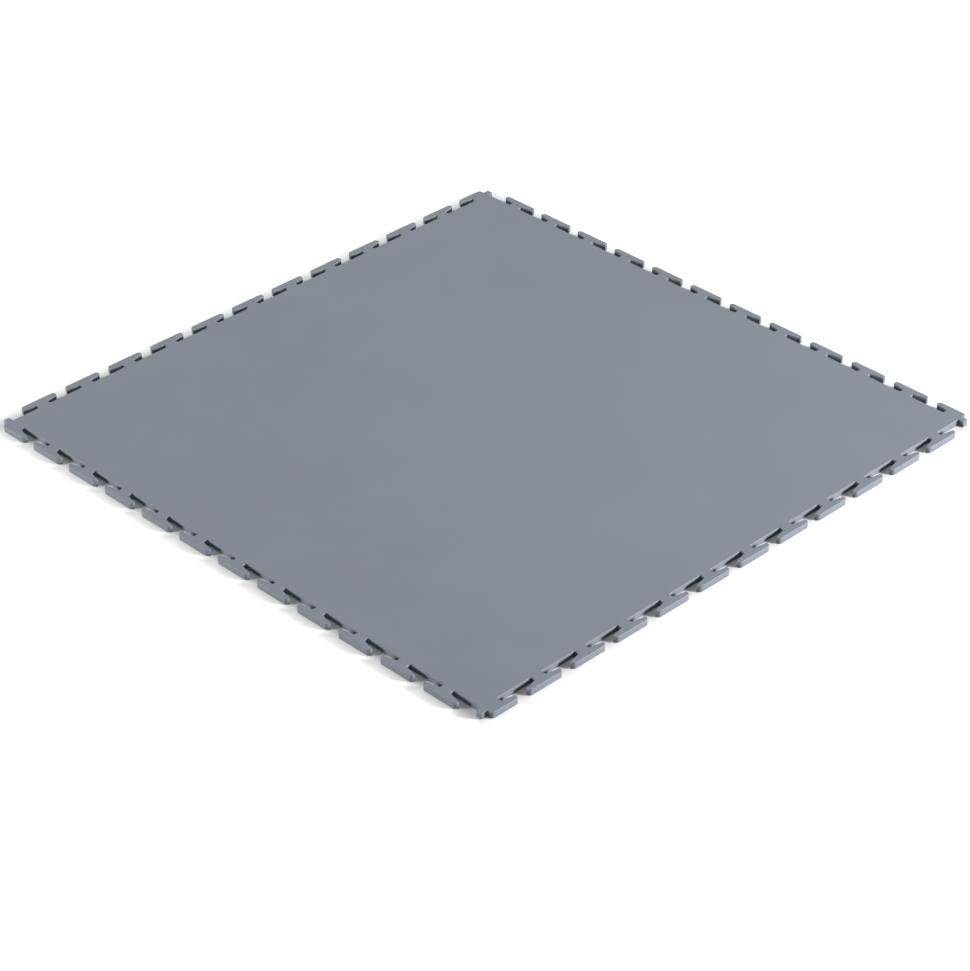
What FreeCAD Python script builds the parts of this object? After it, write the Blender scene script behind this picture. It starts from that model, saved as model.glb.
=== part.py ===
# Interlocking PVC floor tile, one moulded piece, lying flat with its wear face up.
#
# The sheet is square. Every side carries the same row of hammer-head tabs, turned a quarter
# turn each time, so that any side of one tile locks into any side of the next. A tab stands
# out half its depth past the joint line, and the notch beside it goes as far inside it. The
# back of a head leans a little, so that two locked heads wedge against each other.
# The origin is the middle of the underside, X and Y run along the sides and Z points up.
import FreeCAD, Part
import math
import os
import Sketcher

PIECE = "floor_tile"
SIDES = 4

DRIVING_SIZES = [
    ("module", 500.0, "laid size of the tile, from joint line to joint line"),
    ("thickness", 5.0, "underside to wear face"),
    ("tabs_per_side", 12, "tabs along each side"),
    ("tab_pitch", 41.0, "from one tab to the next along a side"),
    ("tab_depth", 10.0, "root to tip of a tab, half of it on each side of the joint line"),
    ("head_width", 31.2, "width of a tab's hammer head along the side"),
    ("back_lean", 1.2, "how far the back of a head leans out at its end and in at the neck"),
    ("fit_gap", 0.2, "play between two tiles that are locked together"),
    ("tip_radius", 2.5, "rounding of a head's outer corners in plan"),
    ("neck_flare", 0.8, "how far the foot of a neck spreads to each side"),
    ("top_bevel", 0.4, "bevel round the wear face"),
    ("root_overlap", 3.0, "how far a tab's root reaches into the sheet it is moulded with"),
]

# Places along and across a side, as formulas of the named sizes. The row is drawn on the
# side that faces -Y, where x runs along the side from its first tab to its last notch.
NECK_WIDTH = "(sizes.tab_pitch - sizes.head_width - 2 * sizes.fit_gap)"
JOINT_LINE = "(sizes.module / 2)"
SHEET_EDGE = "(sizes.module / 2 - sizes.tab_depth / 2)"
TAB_ROOT = f"({SHEET_EDGE} - sizes.root_overlap)"
FLARE_TOP = f"({SHEET_EDGE} + sizes.neck_flare)"
BACK_AT_NECK = "(sizes.module / 2 + sizes.fit_gap / 2 - sizes.back_lean)"
BACK_AT_END = "(sizes.module / 2 + sizes.fit_gap / 2 + sizes.back_lean)"
TAB_TIP = "(sizes.module / 2 + sizes.tab_depth / 2 - sizes.fit_gap)"
POST_FACE = "(sizes.module / 2 - sizes.fit_gap / 2)"
FIRST_HEAD_END = f"({SHEET_EDGE} - sizes.fit_gap)"
SHARP = None
INWARD_SLOPE = -45
ROUNDED = "sizes.tip_radius"


def middle_of_tab(number):
    """Where tab 0, 1, 2... stands.

    The row is shifted back by a quarter pitch from the middle of the side, which puts the
    tabs of the opposite side over its notches.
    """
    return f"(({number} + 0.25 - sizes.tabs_per_side / 2) * sizes.tab_pitch)"


def make_sheet(doc):
    """The driving sizes in a spreadsheet, one named cell each."""
    sheet = doc.addObject("Spreadsheet::Sheet", "sizes")
    for row, (alias, size, note) in enumerate(DRIVING_SIZES, start=1):
        sheet.set(f"A{row}", str(size))
        sheet.set(f"B{row}", note)
        sheet.setAlias(f"A{row}", alias)
    doc.recompute()
    return sheet


def new_sketch(body, name):
    """A sketch on the body's own ground plane."""
    sketch = body.newObject("Sketcher::SketchObject", name)
    ground = [plane for plane in body.Origin.OriginFeatures if plane.Role == "XY_Plane"][0]
    sketch.AttachmentSupport = (ground, "")
    sketch.MapMode = "FlatFace"
    return sketch


def hold(sketch, kind, point, formula):
    """Hold a point at the X or Y that a formula gives, measured from the tile's middle."""
    place = sketch.evalExpression(formula)
    from_middle = (-1, 1, point, 1) if place >= 0 else (point, 1, -1, 1)
    number = sketch.addConstraint(Sketcher.Constraint(kind, *from_middle, abs(place)))
    sketch.setExpression(f"Constraints[{number}]", formula if place >= 0 else f"-1 * {formula}")


def draw_outline(sketch, corners):
    """Draw a closed outline through corners, each its x formula, y formula and finish.

    A helper point is held at every corner. The lines run from point to point, and meet
    there when the corner is SHARP or in an arc when it is ROUNDED.
    """
    places = [FreeCAD.Vector(sketch.evalExpression(x), sketch.evalExpression(y), 0)
              for x, y, finish in corners]
    count = len(corners)
    points = []
    for place, (x, y, finish) in zip(places, corners):
        point = sketch.addGeometry(Part.Point(place), True)
        hold(sketch, "DistanceX", point, x)
        hold(sketch, "DistanceY", point, y)
        points.append(point)
    lines = []
    for here in range(count):
        there = (here + 1) % count
        along = (places[there] - places[here]).normalize()
        start = places[here] + along * set_back(sketch, places, corners, here)
        end = places[there] - along * set_back(sketch, places, corners, there)
        lines.append(sketch.addGeometry(Part.LineSegment(start, end), False))
    for here in range(count):
        before, after = lines[here - 1], lines[here]
        if corners[here][2]:
            round_corner(sketch, places, here, points[here], before, after)
        else:
            sketch.addConstraint(Sketcher.Constraint("Coincident", before, 2, points[here], 1))
            sketch.addConstraint(Sketcher.Constraint("Coincident", after, 1, points[here], 1))


def directions(places, here):
    """The two directions in which an outline leaves a corner: back and ahead."""
    back = (places[here - 1] - places[here]).normalize()
    ahead = (places[(here + 1) % len(places)] - places[here]).normalize()
    return back, ahead


def set_back(sketch, places, corners, here):
    """How far from a corner its arc begins: nothing when the corner is SHARP."""
    if not corners[here][2]:
        return 0
    back, ahead = directions(places, here)
    half_angle = back.getAngle(ahead) / 2
    return sketch.evalExpression(corners[here][2]) / math.tan(half_angle)


def round_corner(sketch, places, here, point, before, after):
    """Join two lines by an arc that is tangent to both, with the named tip radius."""
    radius = sketch.evalExpression(ROUNDED)
    back, ahead = directions(places, here)
    half_angle = back.getAngle(ahead) / 2
    reach = radius / math.tan(half_angle)
    inward = (back + ahead).normalize()
    centre = places[here] + inward * (radius / math.sin(half_angle))
    arc = Part.Arc(places[here] + back * reach, centre - inward * radius, places[here] + ahead * reach)
    rounding = sketch.addGeometry(arc, False)
    counterclockwise = back.cross(ahead).z < 0
    first, last = (1, 2) if counterclockwise else (2, 1)
    sketch.addConstraint(Sketcher.Constraint("Tangent", before, 2, rounding, first))
    sketch.addConstraint(Sketcher.Constraint("Tangent", rounding, last, after, 1))
    sketch.addConstraint(Sketcher.Constraint("PointOnObject", point, 1, before))
    sketch.addConstraint(Sketcher.Constraint("PointOnObject", point, 1, after))
    number = sketch.addConstraint(Sketcher.Constraint("Radius", rounding, radius))
    sketch.setExpression(f"Constraints[{number}]", ROUNDED)


def pad(body, sketch, name):
    """Give a sketch the tile's thickness, the last of it drawn in as a bevel.

    The sketch lies where the bevel begins: a straight wall goes down to the underside, and
    a leaning one goes up to the wear face.
    """
    sketch.setExpression("AttachmentOffset.Base.z", "sizes.thickness - sizes.top_bevel")
    wall = body.newObject("PartDesign::Pad", name)
    wall.Profile = sketch
    wall.Reversed = True
    wall.setExpression("Length", "sizes.thickness - sizes.top_bevel")
    bevel = body.newObject("PartDesign::Pad", f"{name}_bevel")
    bevel.Profile = sketch
    bevel.setExpression("Length", "sizes.top_bevel")
    bevel.TaperAngle = INWARD_SLOPE
    return [wall, bevel]


def add_sheet(body):
    """The square sheet, out to the roots of the notches."""
    low, high = f"(-1 * {SHEET_EDGE})", SHEET_EDGE
    sketch = new_sketch(body, "sheet_outline")
    draw_outline(sketch, [(low, low, SHARP), (high, low, SHARP), (high, high, SHARP), (low, high, SHARP)])
    return pad(body, sketch, "sheet_blank")


def add_tab(body):
    """One full tab, the second of the row: a narrow neck with a wide head across its end."""
    middle = middle_of_tab(1)
    foot_left, foot_right = [f"({middle} {sign} ({NECK_WIDTH} / 2 + sizes.neck_flare))" for sign in "-+"]
    neck_left, neck_right = [f"({middle} {sign} {NECK_WIDTH} / 2)" for sign in "-+"]
    head_left, head_right = [f"({middle} {sign} sizes.head_width / 2)" for sign in "-+"]
    root, edge, flare, neck_end, head_end, tip = [
        f"(-1 * {place})" for place in
        (TAB_ROOT, SHEET_EDGE, FLARE_TOP, BACK_AT_NECK, BACK_AT_END, TAB_TIP)]
    sketch = new_sketch(body, "tab_outline")
    draw_outline(sketch, [
        (foot_left, root, SHARP),
        (foot_left, edge, SHARP),
        (neck_left, flare, SHARP),
        (neck_left, neck_end, SHARP),
        (head_left, head_end, SHARP),
        (head_left, tip, ROUNDED),
        (head_right, tip, ROUNDED),
        (head_right, head_end, SHARP),
        (neck_right, neck_end, SHARP),
        (neck_right, flare, SHARP),
        (foot_right, edge, SHARP),
        (foot_right, root, SHARP),
    ])
    return pad(body, sketch, "tab")


def add_corner_tab(body):
    """The first tab of a side, joined to the square post that closes the corner.

    The post fills this tile's share of the point where four tiles meet. The head beside it
    is cut short by the same amount, which leaves room for the next tile's post.
    """
    middle = middle_of_tab(0)
    foot_right = f"({middle} + {NECK_WIDTH} / 2 + sizes.neck_flare)"
    neck_right = f"({middle} + {NECK_WIDTH} / 2)"
    head_right = f"({middle} + sizes.head_width / 2)"
    root, edge, flare, face, first_end, neck_end, head_end, tip = [
        f"(-1 * {place})" for place in
        (TAB_ROOT, SHEET_EDGE, FLARE_TOP, POST_FACE, FIRST_HEAD_END, BACK_AT_NECK, BACK_AT_END, TAB_TIP)]
    sketch = new_sketch(body, "corner_tab_outline")
    draw_outline(sketch, [
        (face, edge, SHARP),
        (face, face, SHARP),
        (first_end, face, SHARP),
        (first_end, tip, ROUNDED),
        (head_right, tip, ROUNDED),
        (head_right, head_end, SHARP),
        (neck_right, neck_end, SHARP),
        (neck_right, flare, SHARP),
        (foot_right, edge, SHARP),
        (foot_right, root, SHARP),
        (root, root, SHARP),
        (root, edge, SHARP),
    ])
    return pad(body, sketch, "corner_tab")


def turn_round(body, features, name):
    """Repeat features on all four sides."""
    turns = body.newObject("PartDesign::PolarPattern", name)
    turns.Originals = features
    turns.Axis = ([axis for axis in body.Origin.OriginFeatures if axis.Role == "Z_Axis"][0], [""])
    turns.Angle = 360
    turns.Occurrences = SIDES
    body.Tip = turns
    return turns


def fill_side_and_turn(body, features):
    """Repeat the full tab along its side, then the row on all four sides."""
    row = body.newObject("PartDesign::MultiTransform", "tabs_on_each_side")
    row.Originals = features
    along = body.newObject("PartDesign::LinearPattern", "tabs_along_side")
    x_axis = [axis for axis in body.Origin.OriginFeatures if axis.Role == "X_Axis"][0]
    along.Direction = (x_axis, [""])
    along.setExpression("Length", "(sizes.tabs_per_side - 2) * sizes.tab_pitch")
    along.setExpression("Occurrences", "sizes.tabs_per_side - 1")
    turns = body.newObject("PartDesign::PolarPattern", "rows_round_tile")
    turns.Axis = ([axis for axis in body.Origin.OriginFeatures if axis.Role == "Z_Axis"][0], [""])
    turns.Angle = 360
    turns.Occurrences = SIDES
    row.Transformations = [along, turns]
    body.Tip = row
    return row


def make_tile(doc):
    """The whole tile as one body."""
    body = doc.addObject("PartDesign::Body", PIECE)
    body.Label = PIECE
    body.Placement = FreeCAD.Placement()
    add_sheet(body)
    turn_round(body, add_corner_tab(body), "corner_tab_on_each_side")
    fill_side_and_turn(body, add_tab(body))
    return body


def check(doc, body):
    """Stop on any failed feature, and unless the tile is one sound solid."""
    doc.recompute()
    for item in doc.Objects:
        if "Invalid" in item.State or "Error" in item.State:
            raise RuntimeError(f"{item.Name} failed: {item.State}")
    shape = body.Shape
    if shape.isNull() or not shape.isValid() or len(shape.Solids) != 1:
        raise RuntimeError(f"{body.Label} is not one sound solid")


doc = FreeCAD.newDocument("floor_tile")
make_sheet(doc)
tile = make_tile(doc)
check(doc, tile)
os.makedirs("parts", exist_ok=True)
tile.Shape.exportStep(f"parts/{PIECE}.step")
box = tile.Shape.BoundBox
print(f"{PIECE}: {box.XLength:.2f} x {box.YLength:.2f} x {box.ZLength:.2f} mm,",
      f"{tile.Shape.Volume / 1000:.1f} cm3, {len(tile.Shape.Faces)} faces")
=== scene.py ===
import math

import bpy
from mathutils import Matrix, Vector


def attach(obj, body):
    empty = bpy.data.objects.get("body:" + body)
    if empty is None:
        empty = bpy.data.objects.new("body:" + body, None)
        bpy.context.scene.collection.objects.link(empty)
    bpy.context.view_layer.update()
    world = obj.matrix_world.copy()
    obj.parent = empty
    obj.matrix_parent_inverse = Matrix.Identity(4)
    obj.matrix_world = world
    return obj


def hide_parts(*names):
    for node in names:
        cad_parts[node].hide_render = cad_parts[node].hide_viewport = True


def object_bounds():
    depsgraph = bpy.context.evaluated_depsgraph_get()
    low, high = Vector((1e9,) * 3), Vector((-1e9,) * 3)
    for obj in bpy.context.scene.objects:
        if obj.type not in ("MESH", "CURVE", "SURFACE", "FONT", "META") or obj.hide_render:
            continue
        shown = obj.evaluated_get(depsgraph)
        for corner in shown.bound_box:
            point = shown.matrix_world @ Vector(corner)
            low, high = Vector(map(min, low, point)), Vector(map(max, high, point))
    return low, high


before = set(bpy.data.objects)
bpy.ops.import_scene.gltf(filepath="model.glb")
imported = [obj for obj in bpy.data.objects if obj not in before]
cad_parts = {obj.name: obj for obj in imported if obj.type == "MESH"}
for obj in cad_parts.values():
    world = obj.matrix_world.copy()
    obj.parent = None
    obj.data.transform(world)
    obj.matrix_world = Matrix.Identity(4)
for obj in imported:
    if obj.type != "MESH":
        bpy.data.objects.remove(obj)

cad_low, cad_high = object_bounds()

# Sizes of the tile in metres. The outline has the solid's own sizes and the thickness comes
# from the frame. The last two roundings soften edges that the solid keeps sharp. A side is
# cut into equal pitches, and TAB_IN_PITCH is the share of its pitch at which a tab is centred.
MODULE = 0.5
TABS_PER_SIDE = 12
TAB_PITCH = 0.041
TAB_IN_PITCH = 0.25
TAB_DEPTH = 0.010
HEAD_WIDTH = 0.0312
BACK_LEAN = 0.0012
NECK_FLARE = 0.0008
FIT_GAP = 0.0002
TIP_RADIUS = 0.0025
WEAR_FACE = cad_high[2]
WEAR_ROUNDING = 0.0004
CORNER_RADIUS = 0.0005
FOOT_ROUNDING = 0.0002

# How the mesh is made: sides of the tile, corners of its outline for each tab, points of the
# edge's section and of each rounding, and how near two points of a seam lie to be one.
SIDES = 4
TAB_CORNERS = 10
SECTION_POINTS = 4
ROUNDING_POINTS = 5
SEAM_GAP = 0.000002

# The PVC: its colour where the clouding is darkest and lightest, how rough its satin is where
# it is least and most rubbed, and how strongly its grain shows underneath and on top. A scale
# is the number of noise cells in a metre.
PVC_DARK = (0.185, 0.212, 0.255, 1)
PVC_LIGHT = (0.192, 0.221, 0.265, 1)
CLOUD_RANGE = (0.35, 0.65)
CLOUD_SCALE = 9
SATIN_RANGE = (0.5, 0.58)
RUB_SCALE = 40
GRAIN_SCALE = 1100
GRAIN_HEIGHT = 0.0001
GRAIN_UNDERNEATH = 0.7
GRAIN_ON_TOP = 0.15

# The floor: half its width, how far it lies below the tile, its paper's colour and roughness,
# how strongly it glows to the eye at three distances from the tile's middle, and how much
# light it passes on. The glow is faint up to the tile's edge, which is painted shade on the
# floor of the tile's notches, and rises steeply just outside, which pales the tile's shadow there.
FLOOR_HALF = 4.0
FLOOR_DROP = 0.0002
PAPER_COLOUR = (0.93, 0.93, 0.94, 1)
PAPER_ROUGHNESS = 0.9
FLOOR_GLOW_AND_PAINTED_SHADE = ((0.25, 0.04), (0.264, 0.6), (1.0, 1.0))
FLOOR_BOUNCE = 0.2

# The light: how much comes from all round, and the soft boxes. A box stands at a turn from +X
# and a rise above the floor, in degrees, and faces the tile's middle. The far box mirrors in
# the wear face, the right one lights the near right walls and the fill the near left ones.
SURROUND = 0.1
BOX_DISTANCE = 2.2
SOFT_BOXES = (
    {"name": "far_box", "turn": 135, "rise": 38, "width": 2.4, "height": 0.5,
     "watts": 12, "colour": (0.84, 0.92, 1)},
    {"name": "right_box", "turn": 28, "rise": 16, "width": 0.6, "height": 0.35,
     "watts": 80, "colour": (1, 0.95, 0.93)},
    {"name": "near_fill", "turn": -118, "rise": 13, "width": 0.8, "height": 0.35,
     "watts": 42, "colour": (1, 0.96, 0.92)},
)

# Where the photograph was taken from: a long lens that looks down over the near corner.
LENS_MM = 120.7
SENSOR_MM = 36.0
CAMERA_TURN = math.radians(45.6)
CAMERA_RISE = math.radians(33.449)
CAMERA_ROLL = math.radians(-0.362)
CAMERA_DISTANCE = 2.314
AIM = Vector((0.06235, -0.06154, WEAR_FACE))


class Recipe:
    """A node tree that is written as a list of calls, each giving back a socket to use next."""

    def __init__(self, tree):
        self.tree = tree

    def node(self, kind, settings=None, out=0, **wired):
        """Add a node, set what it has, and wire or fill its inputs.

        An input goes by its name, with _ for a space, or by its number after a _.
        """
        node = self.tree.nodes.new(kind)
        for name, value in (settings or {}).items():
            setattr(node, name, value)
        for name, value in wired.items():
            key = int(name[1:]) if name[0] == "_" else name.replace("_", " ")
            self.feed(node.inputs[key], value)
        return node.outputs[out]

    def feed(self, socket, value):
        """Wire a socket to a socket, or fill it with a value."""
        if isinstance(value, bpy.types.NodeSocket):
            self.tree.links.new(value, socket)
        else:
            socket.default_value = value

    def sum(self, operation, first, second=0.0, third=0.0):
        """One sum on numbers."""
        return self.node("ShaderNodeMath", {"operation": operation}, _0=first, _1=second, _2=third)

    def pick(self, index, choices):
        """The choice that stands at a place in a list."""
        node = self.tree.nodes.new("GeometryNodeIndexSwitch")
        node.data_type = "FLOAT"
        for _ in choices[2:]:
            node.index_switch_items.new()
        self.feed(node.inputs["Index"], index)
        for number, choice in enumerate(choices):
            self.feed(node.inputs[str(number)], choice)
        return node.outputs[0]

    def either(self, test, yes, no):
        """One number where a test holds, another where it doesn't."""
        return self.node("GeometryNodeSwitch", {"input_type": "FLOAT"}, Switch=test, _2=yes, _1=no)

    def noise(self, place, scale, detail):
        """A soft noise with so many cells in a metre."""
        return self.node("ShaderNodeTexNoise", Vector=place, Scale=scale, Detail=detail)


def corner_place(recipe, size):
    """Where each corner of the tile's outline lies, and how far it is rounded.

    The outline has ten corners for each tab, in the order foot, neck, back of the neck, end
    of the back, tip, and the same five again on the way back. The first five of a side's
    first tab belong to the square post at the tile's corner. Places in the order are whole
    numbers, so a test for one stands halfway to the next.
    """
    index = recipe.node("GeometryNodeInputIndex")
    tab_of_all = recipe.sum("FLOOR", recipe.sum("DIVIDE", index, TAB_CORNERS))
    side = recipe.sum("FLOOR", recipe.sum("DIVIDE", tab_of_all, size["Tabs per Side"]))
    tab = recipe.sum("MODULO", tab_of_all, size["Tabs per Side"])
    slot = recipe.sum("MODULO", index, TAB_CORNERS)
    step = recipe.sum("MINIMUM", slot, recipe.sum("SUBTRACT", TAB_CORNERS - 1, slot))
    way_out = recipe.sum("LESS_THAN", slot, TAB_CORNERS / 2)

    joint = recipe.sum("DIVIDE", size["Module"], 2)
    half_depth = recipe.sum("DIVIDE", size["Tab Depth"], 2)
    half_gap = recipe.sum("DIVIDE", size["Fit Gap"], 2)
    half_pitch = recipe.sum("DIVIDE", size["Tab Pitch"], 2)
    edge = recipe.sum("SUBTRACT", joint, half_depth)
    flare_top = recipe.sum("ADD", edge, size["Neck Flare"])
    back = recipe.sum("ADD", joint, half_gap)
    back_at_neck = recipe.sum("SUBTRACT", back, size["Back Lean"])
    back_at_end = recipe.sum("ADD", back, size["Back Lean"])
    tip = recipe.sum("SUBTRACT", recipe.sum("ADD", joint, half_depth), size["Fit Gap"])
    head = recipe.sum("DIVIDE", size["Head Width"], 2)
    neck = recipe.sum("SUBTRACT", half_pitch, recipe.sum("ADD", head, size["Fit Gap"]))
    foot = recipe.sum("ADD", neck, size["Neck Flare"])

    half_row = recipe.sum("DIVIDE", size["Tabs per Side"], 2)
    first = recipe.sum("SUBTRACT", TAB_IN_PITCH, half_row)
    middle = recipe.sum("MULTIPLY", recipe.sum("ADD", tab, first), size["Tab Pitch"])
    sideways = recipe.pick(step, [foot, neck, neck, head, head])
    turned = recipe.sum("SUBTRACT", 1, recipe.sum("MULTIPLY", way_out, 2))
    tab_along = recipe.sum("MULTIPLY_ADD", sideways, turned, middle)
    tab_reach = recipe.pick(step, [edge, flare_top, back_at_neck, back_at_end, tip])

    post_face = recipe.sum("SUBTRACT", joint, half_gap)
    first_end = recipe.sum("SUBTRACT", edge, size["Fit Gap"])
    post_along = recipe.pick(slot, [edge, post_face, post_face, first_end, first_end])
    post_along = recipe.sum("MULTIPLY", post_along, -1)
    post_reach = recipe.pick(slot, [edge, edge, post_face, post_face, tip])

    at_post = recipe.sum("MULTIPLY", way_out, recipe.sum("LESS_THAN", tab, 0.5))
    along = recipe.either(at_post, post_along, tab_along)
    outward = recipe.either(at_post, post_reach, tab_reach)
    flat = recipe.node("ShaderNodeCombineXYZ", X=along, Y=recipe.sum("MULTIPLY", outward, -1))
    place = recipe.node("ShaderNodeVectorRotate", {"rotation_type": "Z_AXIS"}, Vector=flat,
                        Angle=recipe.sum("MULTIPLY", side, math.pi / 2))
    at_tip = recipe.sum("GREATER_THAN", step, 3.5)
    rounding = recipe.either(at_tip, size["Tip Radius"], size["Corner Radius"])
    return place, rounding


def string_of_points(recipe, count, place):
    """A curve through points that are counted off and put in their places."""
    line = recipe.node("GeometryNodeMeshLine", Count=count)
    line = recipe.node("GeometryNodeSetPosition", Geometry=line, Position=place)
    return recipe.node("GeometryNodeMeshToCurve", Mesh=line)


def rounded(recipe, curve, radius):
    """A curve with its corners rounded in short straight steps."""
    return recipe.node("GeometryNodeFilletCurve", {"mode": "POLY"}, Curve=curve,
                       Count=ROUNDING_POINTS, Radius=radius, Limit_Radius=True)


def edge_section(recipe, size):
    """The section of the tile's edge, from the wear face down to the underside."""
    index = recipe.node("GeometryNodeInputIndex")
    inward = recipe.pick(index, [size["Wear Rounding"], 0, 0, size["Foot Rounding"]])
    height = recipe.pick(index, [size["Thickness"], size["Thickness"], 0, 0])
    place = recipe.node("ShaderNodeCombineXYZ", X=recipe.sum("MULTIPLY", inward, -1),
                        Y=recipe.sum("MULTIPLY", height, -1))
    line = string_of_points(recipe, SECTION_POINTS, place)
    radius = recipe.pick(index, [0, size["Wear Rounding"], size["Foot Rounding"], 0])
    return rounded(recipe, line, radius)


def swept_wall(recipe, size):
    """The wall of the tile: its edge's section, swept along the rounded outline."""
    place, rounding = corner_place(recipe, size)
    corners = recipe.sum("MULTIPLY", size["Tabs per Side"], SIDES * TAB_CORNERS)
    outline = string_of_points(recipe, corners, place)
    outline = recipe.node("GeometryNodeSetSplineCyclic", Geometry=outline, Cyclic=True)
    outline = rounded(recipe, outline, rounding)
    outline = recipe.node("GeometryNodeSetCurveNormal", {"mode": "Z_UP"}, Curve=outline)
    return recipe.node("GeometryNodeCurveToMesh", Curve=outline,
                       Profile_Curve=edge_section(recipe, size))


def flat_faces(recipe, size, wall):
    """The wear face and the underside, filled in from the wall's upper and lower rim.

    A rim's edges are those that have a face on one side only.
    """
    neighbours = recipe.node("GeometryNodeInputMeshEdgeNeighbors")
    is_rim = recipe.node("FunctionNodeCompare", {"data_type": "INT", "operation": "EQUAL"},
                         _2=neighbours, _3=1)
    rims = recipe.node("GeometryNodeMeshToCurve", Mesh=wall, Selection=is_rim)
    position = recipe.node("GeometryNodeInputPosition")
    height = recipe.node("ShaderNodeSeparateXYZ", out=2, Vector=position)
    halfway = recipe.sum("DIVIDE", size["Thickness"], 2)
    is_high = recipe.sum("GREATER_THAN", height, halfway)
    split = recipe.node("GeometryNodeSeparateGeometry", {"domain": "POINT"}, Geometry=rims,
                        Selection=is_high).node
    upper_rim, lower_rim = split.outputs
    wear_face = recipe.node("GeometryNodeFillCurve", {"mode": "TRIANGLES"}, Curve=upper_rim)
    lift = recipe.node("ShaderNodeCombineXYZ", Z=size["Thickness"])
    wear_face = recipe.node("GeometryNodeTransform", Geometry=wear_face, Translation=lift)
    underside = recipe.node("GeometryNodeFillCurve", {"mode": "TRIANGLES"}, Curve=lower_rim)
    underside = recipe.node("GeometryNodeFlipFaces", Mesh=underside)
    return wear_face, underside


def tile_recipe(finish):
    """The whole tile as a node tree, and the values of its inputs."""
    tree = bpy.data.node_groups.new("interlocking_tile", "GeometryNodeTree")
    recipe = Recipe(tree)
    lengths = {"Module": MODULE, "Thickness": WEAR_FACE, "Tab Pitch": TAB_PITCH,
               "Tab Depth": TAB_DEPTH, "Head Width": HEAD_WIDTH, "Back Lean": BACK_LEAN,
               "Neck Flare": NECK_FLARE, "Fit Gap": FIT_GAP, "Tip Radius": TIP_RADIUS,
               "Corner Radius": CORNER_RADIUS, "Wear Rounding": WEAR_ROUNDING,
               "Foot Rounding": FOOT_ROUNDING}
    for name in lengths:
        tree.interface.new_socket(name, in_out="INPUT", socket_type="NodeSocketFloat")
    tree.interface.new_socket("Tabs per Side", in_out="INPUT", socket_type="NodeSocketInt")
    tree.interface.new_socket("Finish", in_out="INPUT", socket_type="NodeSocketMaterial")
    tree.interface.new_socket("Geometry", in_out="OUTPUT", socket_type="NodeSocketGeometry")
    given = tree.nodes.new("NodeGroupInput")
    size = {socket.name: socket for socket in given.outputs}

    wall = swept_wall(recipe, size)
    wear_face, underside = flat_faces(recipe, size, wall)
    smooth_wall = recipe.node("GeometryNodeSetShadeSmooth", Geometry=wall, Shade_Smooth=True)
    joined = tree.nodes.new("GeometryNodeJoinGeometry")
    for piece in (smooth_wall, wear_face, underside):
        tree.links.new(piece, joined.inputs[0])
    tile = recipe.node("GeometryNodeMergeByDistance", Geometry=joined.outputs[0],
                       Distance=SEAM_GAP)
    tile = recipe.node("GeometryNodeRealizeInstances", Geometry=tile)
    tile = recipe.node("GeometryNodeSetMaterial", Geometry=tile, Material=size["Finish"])
    out = tree.nodes.new("NodeGroupOutput")
    tree.links.new(tile, out.inputs[0])
    return tree, lengths | {"Tabs per Side": TABS_PER_SIDE, "Finish": finish}


def grey_pvc():
    """Satin grey PVC: a faint clouding, a fine moulded grain and a coarser one underneath."""
    material = bpy.data.materials.new("grey_pvc")
    material.use_nodes = True
    shader = material.node_tree.nodes["Principled BSDF"]
    recipe = Recipe(material.node_tree)
    place = recipe.node("ShaderNodeTexCoord").node.outputs["Object"]

    clouds = recipe.noise(place, CLOUD_SCALE, detail=3)
    tint = recipe.node("ShaderNodeValToRGB", Fac=clouds)
    stops = tint.node.color_ramp.elements
    for stop, position, colour in zip(stops, CLOUD_RANGE, (PVC_DARK, PVC_LIGHT)):
        stop.position = position
        stop.color = colour
    recipe.feed(shader.inputs["Base Color"], tint)

    rub = recipe.noise(place, RUB_SCALE, detail=5)
    satin = recipe.node("ShaderNodeMapRange", Value=rub, To_Min=SATIN_RANGE[0],
                        To_Max=SATIN_RANGE[1])
    recipe.feed(shader.inputs["Roughness"], satin)

    grain = recipe.noise(place, GRAIN_SCALE, detail=2)
    height = recipe.node("ShaderNodeSeparateXYZ", out=2, Vector=place)
    coarse = recipe.node("ShaderNodeMapRange", Value=height, From_Max=FOOT_ROUNDING,
                         To_Min=GRAIN_UNDERNEATH, To_Max=GRAIN_ON_TOP)
    skin = recipe.node("ShaderNodeBump", Distance=GRAIN_HEIGHT, Strength=coarse, Height=grain)
    recipe.feed(shader.inputs["Normal"], skin)
    return material


def make_tile():
    """Build the tile from its recipe, as a plain mesh that stands in for the solid."""
    tree, values = tile_recipe(grey_pvc())
    blank = bpy.data.objects.new("tile_blank", bpy.data.meshes.new("tile_blank"))
    bpy.context.scene.collection.objects.link(blank)
    shaping = blank.modifiers.new("shaping", "NODES")
    shaping.node_group = tree
    for socket in tree.interface.items_tree:
        if socket.in_out == "INPUT":
            shaping[socket.identifier] = values[socket.name]
    shaped = blank.evaluated_get(bpy.context.evaluated_depsgraph_get())
    mesh = bpy.data.meshes.new_from_object(shaped)
    mesh.name = "pvc_tile"
    # The first material slot comes from the blank and is empty. The second has the finish.
    mesh.materials.pop(index=0)
    bpy.data.objects.remove(blank)
    tile = bpy.data.objects.new("pvc_tile", mesh)
    bpy.context.scene.collection.objects.link(tile)
    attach(tile, "root")
    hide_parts("floor_tile")


def seen_directly(recipe):
    """One for what the camera sees, straight, in a reflection or through glass, else nought."""
    ray = recipe.node("ShaderNodeLightPath").node.outputs
    seen = recipe.sum("MAXIMUM", ray["Is Camera Ray"], ray["Is Glossy Ray"])
    return recipe.sum("MAXIMUM", seen, ray["Is Transmission Ray"])


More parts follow.
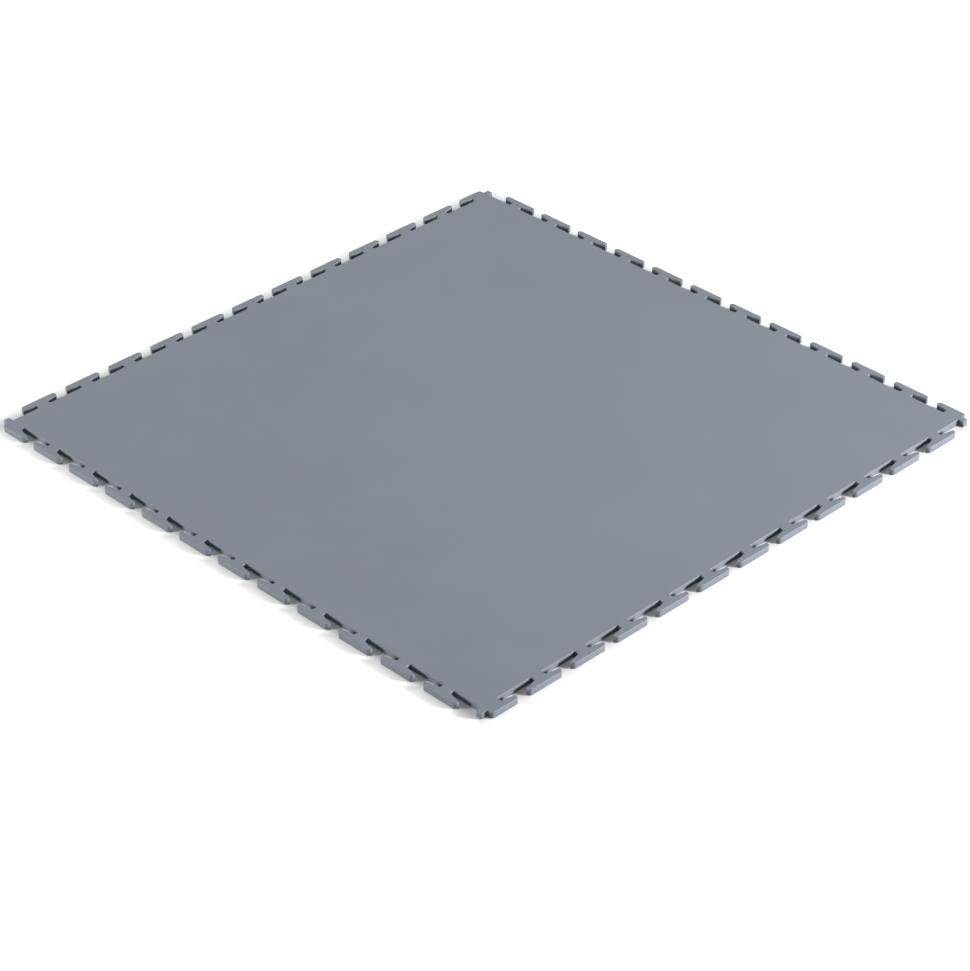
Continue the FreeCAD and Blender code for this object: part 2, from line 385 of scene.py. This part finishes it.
def studio_white():
    """Floor paper: white to the eye and in reflections, with painted shade at the tile's edge,
    darker where it only passes light on.
    """
    material = bpy.data.materials.new("studio_white")
    material.use_nodes = True
    nodes = material.node_tree.nodes
    recipe = Recipe(material.node_tree)
    paper = nodes["Principled BSDF"]
    paper.inputs["Base Color"].default_value = PAPER_COLOUR
    paper.inputs["Roughness"].default_value = PAPER_ROUGHNESS
    paper.inputs["Specular IOR Level"].default_value = 0.0
    paper.inputs["Emission Color"].default_value = (1, 1, 1, 1)

    place = recipe.node("ShaderNodeTexCoord").node.outputs["Object"]
    apart = recipe.node("ShaderNodeVectorMath", {"operation": "ABSOLUTE"}, _0=place)
    apart = recipe.node("ShaderNodeSeparateXYZ", Vector=apart).node
    away = recipe.sum("MAXIMUM", apart.outputs["X"], apart.outputs["Y"])
    # Painted shade: the glow is faint up to the tile's edge, so the floor of the notches is dark,
    # and rises steeply just outside, which pales the tile's shadow.
    glow_and_painted_shade = recipe.node("ShaderNodeValToRGB", Fac=away)
    stops = glow_and_painted_shade.node.color_ramp.elements
    stops.new(FLOOR_GLOW_AND_PAINTED_SHADE[1][0])
    for stop, (distance, strength) in zip(stops, FLOOR_GLOW_AND_PAINTED_SHADE):
        stop.position = distance
        stop.color = (strength, strength, strength, 1)
    recipe.feed(paper.inputs["Emission Strength"], glow_and_painted_shade)

    bounce = recipe.node("ShaderNodeBsdfDiffuse",
                         Color=(FLOOR_BOUNCE, FLOOR_BOUNCE, FLOOR_BOUNCE, 1))
    surface = recipe.node("ShaderNodeMixShader", Fac=seen_directly(recipe), _1=bounce,
                          _2=paper.outputs[0])
    recipe.feed(nodes["Material Output"].inputs["Surface"], surface)
    return material


def add_floor():
    """A white studio floor that keeps the tile's shadow and has painted shade at the tile's edge.
    """
    mesh = bpy.data.meshes.new("studio_floor")
    corners = [(-FLOOR_HALF, -FLOOR_HALF, 0), (FLOOR_HALF, -FLOOR_HALF, 0),
               (FLOOR_HALF, FLOOR_HALF, 0), (-FLOOR_HALF, FLOOR_HALF, 0)]
    mesh.from_pydata(corners, [], [(0, 1, 2, 3)])
    floor = bpy.data.objects.new("studio_floor", mesh)
    floor.location.z = -FLOOR_DROP
    bpy.context.scene.collection.objects.link(floor)
    mesh.materials.append(studio_white())


def add_light(name, turn, rise, width, height, watts, colour):
    """One soft box that faces the tile's middle."""
    turn = math.radians(turn)
    rise = math.radians(rise)
    out = Vector((math.cos(turn) * math.cos(rise), math.sin(turn) * math.cos(rise), math.sin(rise)))
    data = bpy.data.lights.new(name, "AREA")
    data.shape = "RECTANGLE"
    data.size = width
    data.size_y = height
    data.energy = watts
    data.color = colour
    light = bpy.data.objects.new(name, data)
    light.location = out * BOX_DISTANCE
    light.rotation_euler = out.to_track_quat("Z", "Y").to_euler()
    bpy.context.scene.collection.objects.link(light)


def light_studio():
    """A world that is white to the eye but sheds little light, and the soft boxes."""
    world = bpy.data.worlds.new("studio")
    world.use_nodes = True
    background = world.node_tree.nodes["Background"]
    background.inputs["Color"].default_value = (1, 1, 1, 1)
    recipe = Recipe(world.node_tree)
    strength = recipe.node("ShaderNodeMapRange", Value=seen_directly(recipe), To_Min=SURROUND)
    recipe.feed(background.inputs["Strength"], strength)
    bpy.context.scene.world = world
    for box in SOFT_BOXES:
        add_light(**box)


def add_camera():
    """The camera behind the near corner, aimed a little in front of the tile's middle."""
    data = bpy.data.cameras.new("camera")
    data.lens = LENS_MM
    data.sensor_width = SENSOR_MM
    camera = bpy.data.objects.new("camera", data)
    back = Vector((math.sin(CAMERA_TURN) * math.cos(CAMERA_RISE),
                   -math.cos(CAMERA_TURN) * math.cos(CAMERA_RISE),
                   math.sin(CAMERA_RISE)))
    right = Vector((math.cos(CAMERA_TURN), math.sin(CAMERA_TURN), 0))
    up = back.cross(right)
    facing = Matrix((right, up, back)).transposed().to_4x4()
    camera.matrix_world = (Matrix.Translation(AIM + back * CAMERA_DISTANCE) @ facing
                           @ Matrix.Rotation(CAMERA_ROLL, 4, "Z"))
    bpy.context.scene.collection.objects.link(camera)
    bpy.context.scene.camera = camera


bpy.context.scene.view_settings.view_transform = "Standard"
make_tile()
add_floor()
light_studio()
add_camera()
